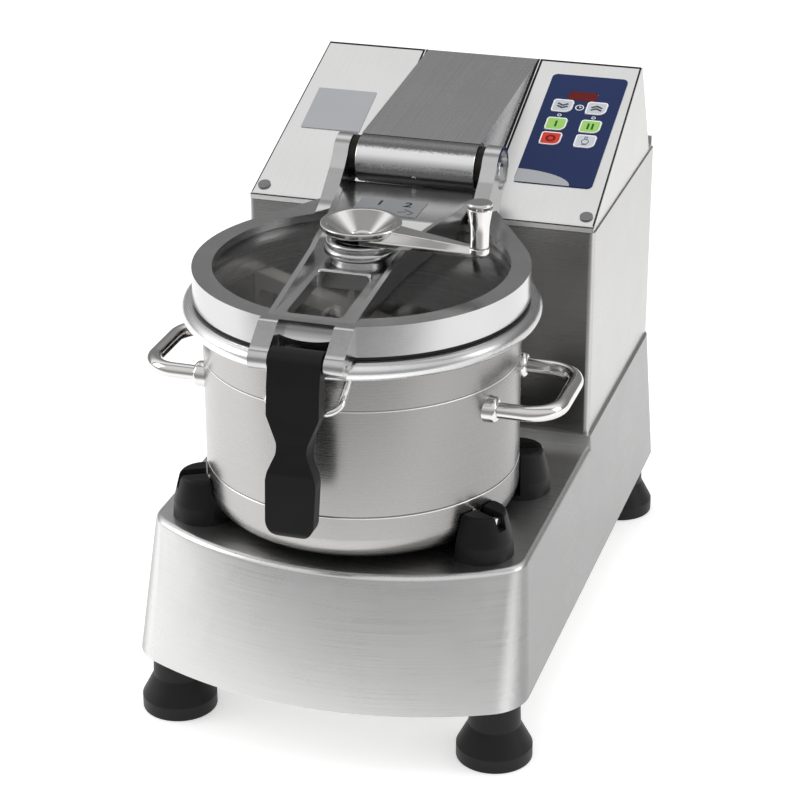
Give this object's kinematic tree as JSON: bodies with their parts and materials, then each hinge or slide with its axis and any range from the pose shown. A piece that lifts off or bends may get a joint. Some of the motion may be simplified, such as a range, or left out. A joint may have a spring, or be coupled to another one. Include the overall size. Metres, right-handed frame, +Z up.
{
  "type": "meat bowl cutter",
  "caption": "Bench bowl cutter: lidded steel bowl with sickle blades, hand-cranked wall scraper, front latch and a sloping control head on a flared base.",
  "frame": {"origin": "middle of the machine's overall footprint, on the table under its feet", "axes": "+Z up, the front with the bowl and latch faces -Y, +X is to the right of a person who stands before it"},
  "size_m": [0.416, 0.7058, 0.527],
  "materials": {
    "brushed_casing": "long-grain brushed stainless sheet, satin",
    "polished_steel": "mirror-polished stainless steel",
    "bowl_steel": "spun stainless steel, fine rings round the bowl, bright inside",
    "lid_casting": "polished cast aluminium, slightly uneven",
    "smoked_pane": "clear polycarbonate, smoked by what lies behind it",
    "seal_rubber": "soft black rubber",
    "foot_rubber": "black rubber, dull",
    "post_plastic": "black moulded plastic, dull",
    "latch_plastic": "black glass-filled plastic, fine-grained",
    "bush_bronze": "plain bearing bronze",
    "plain_plate": "thin satin plate",
    "keypad_blue": "printed polyester foil, satin",
    "display_red": "dark red lens over lit numbers",
    "key_grey": "light grey embossed key",
    "key_green": "light green embossed key",
    "key_red": "red embossed key",
    "key_white": "pale embossed key",
    "gland_plastic": "black nylon",
    "board_plastic": "green circuit board and its box",
    "scraper_plastic": "white food plastic",
    "blade_steel": "ground knife steel with bright edges",
    "hub_plastic": "grey food plastic",
    "machine_steel": "turned steel",
    "cast_alloy": "cast and turned alloy",
    "belt_rubber": "ribbed drive belt"
  },
  "bodies": {
    "machine": {"base_casing": "brushed_casing", "column_housing": "brushed_casing", "head_cover": "brushed_casing", "rear_cover": "brushed_casing", "control_panel": "brushed_casing", "base_plate": "brushed_casing", "rear_hook": "brushed_casing", "hinge_housing": "polished_steel", "hinge_barrel": "polished_steel", "bowl_handle_left": "polished_steel", "bowl_handle_right": "polished_steel", "bowl_catch": "polished_steel", "bowl_pins": "polished_steel", "hinge_pin": "polished_steel", "panel_screws": "polished_steel", "casing_screws": "polished_steel", "bowl": "bowl_steel", "shaft_seal": "seal_rubber", "foot_front_left": "foot_rubber", "foot_rear_left": "foot_rubber", "foot_front_right": "foot_rubber", "foot_rear_right": "foot_rubber", "bowl_post_front_left": "post_plastic", "bowl_post_front_right": "post_plastic", "bowl_post_rear_right": "post_plastic", "bowl_post_rear_left": "post_plastic", "hinge_bushes": "bush_bronze", "blank_plate": "plain_plate", "keypad_foil": "keypad_blue", "display_lens": "display_red", "cable_gland": "gland_plastic", "control_board": "board_plastic", "speed_controller": "board_plastic", "spindle_bearings": "machine_steel", "motor_bracket": "machine_steel", "bearing_housing": "cast_alloy", "motor": "cast_alloy", "drive_belt": "belt_rubber"},
    "lid": {"lid_frame": "lid_casting", "lid_window": "smoked_pane", "lid_seal": "seal_rubber", "label_plate": "plain_plate", "latch_pin": "polished_steel"},
    "latch": {"latch_lever": "latch_plastic"},
    "crank": {"crank": "polished_steel"},
    "grip": {"crank_grip": "polished_steel"},
    "scraper": {"scraper": "scraper_plastic"},
    "rotor": {"spindle": "machine_steel", "rotor_hub": "hub_plastic", "rotor_blades": "blade_steel", "rotor_cap": "polished_steel", "driven_pulley": "cast_alloy"},
    "motor_rotor": {"motor_shaft": "machine_steel", "drive_pulley": "cast_alloy"},
    "key_down": {"key_down": "key_grey"},
    "key_up": {"key_up": "key_grey"},
    "key_speed_one": {"key_speed_one": "key_green"},
    "key_speed_two": {"key_speed_two": "key_green"},
    "key_stop": {"key_stop": "key_red"},
    "key_pulse": {"key_pulse": "key_white"}
  },
  "joints": [
    {"name": "lid_hinge", "type": "hinge", "parent": "machine", "child": "lid", "pos_m": [0, 0.05, 0.482], "axis": [-1, 0, 0], "range_deg": [0, 75]},
    {"name": "latch_pivot", "type": "hinge", "parent": "lid", "child": "latch", "pos_m": [0, -0.32, 0.42], "axis": [-1, 0, 0], "range_deg": [0, 100]},
    {"name": "scraper_turn", "type": "hinge", "parent": "machine", "child": "scraper", "pos_m": [0, -0.14, 0.335], "axis": [0, 0, 1], "continuous": true},
    {"name": "crank_turn", "type": "hinge", "parent": "lid", "child": "crank", "pos_m": [0, -0.14, 0.473], "axis": [0, 0, 1], "continuous": true},
    {"name": "grip_spin", "type": "hinge", "parent": "crank", "child": "grip", "pos_m": [0.11916, -0.16101, 0.5], "axis": [0, 0, 1], "continuous": true},
    {"name": "rotor_spin", "type": "hinge", "parent": "machine", "child": "rotor", "pos_m": [0, -0.14, 0.2], "axis": [0, 0, 1], "continuous": true},
    {"name": "motor_spin", "type": "hinge", "parent": "machine", "child": "motor_rotor", "pos_m": [0, 0.1855, 0.2], "axis": [0, 0, 1], "continuous": true},
    {"name": "key_down_press", "type": "slide", "parent": "machine", "child": "key_down", "axis": [0, 0.3632, -0.9317], "range_m": [0, 0.0006], "stiffness_N_per_m": 800, "springref_m": -0.001},
    {"name": "key_up_press", "type": "slide", "parent": "machine", "child": "key_up", "axis": [0, 0.3632, -0.9317], "range_m": [0, 0.0006], "stiffness_N_per_m": 800, "springref_m": -0.001},
    {"name": "key_speed_one_press", "type": "slide", "parent": "machine", "child": "key_speed_one", "axis": [0, 0.3632, -0.9317], "range_m": [0, 0.0006], "stiffness_N_per_m": 800, "springref_m": -0.001},
    {"name": "key_speed_two_press", "type": "slide", "parent": "machine", "child": "key_speed_two", "axis": [0, 0.3632, -0.9317], "range_m": [0, 0.0006], "stiffness_N_per_m": 800, "springref_m": -0.001},
    {"name": "key_stop_press", "type": "slide", "parent": "machine", "child": "key_stop", "axis": [0, 0.3632, -0.9317], "range_m": [0, 0.0006], "stiffness_N_per_m": 800, "springref_m": -0.001},
    {"name": "key_pulse_press", "type": "slide", "parent": "machine", "child": "key_pulse", "axis": [0, 0.3632, -0.9317], "range_m": [0, 0.0006], "stiffness_N_per_m": 800, "springref_m": -0.001}
  ],
  "couplings": [
    {"joint": "crank_turn", "follows": "scraper_turn", "ratio": 1},
    {"joint": "motor_spin", "follows": "rotor_spin", "ratio": 1.4}
  ]
}
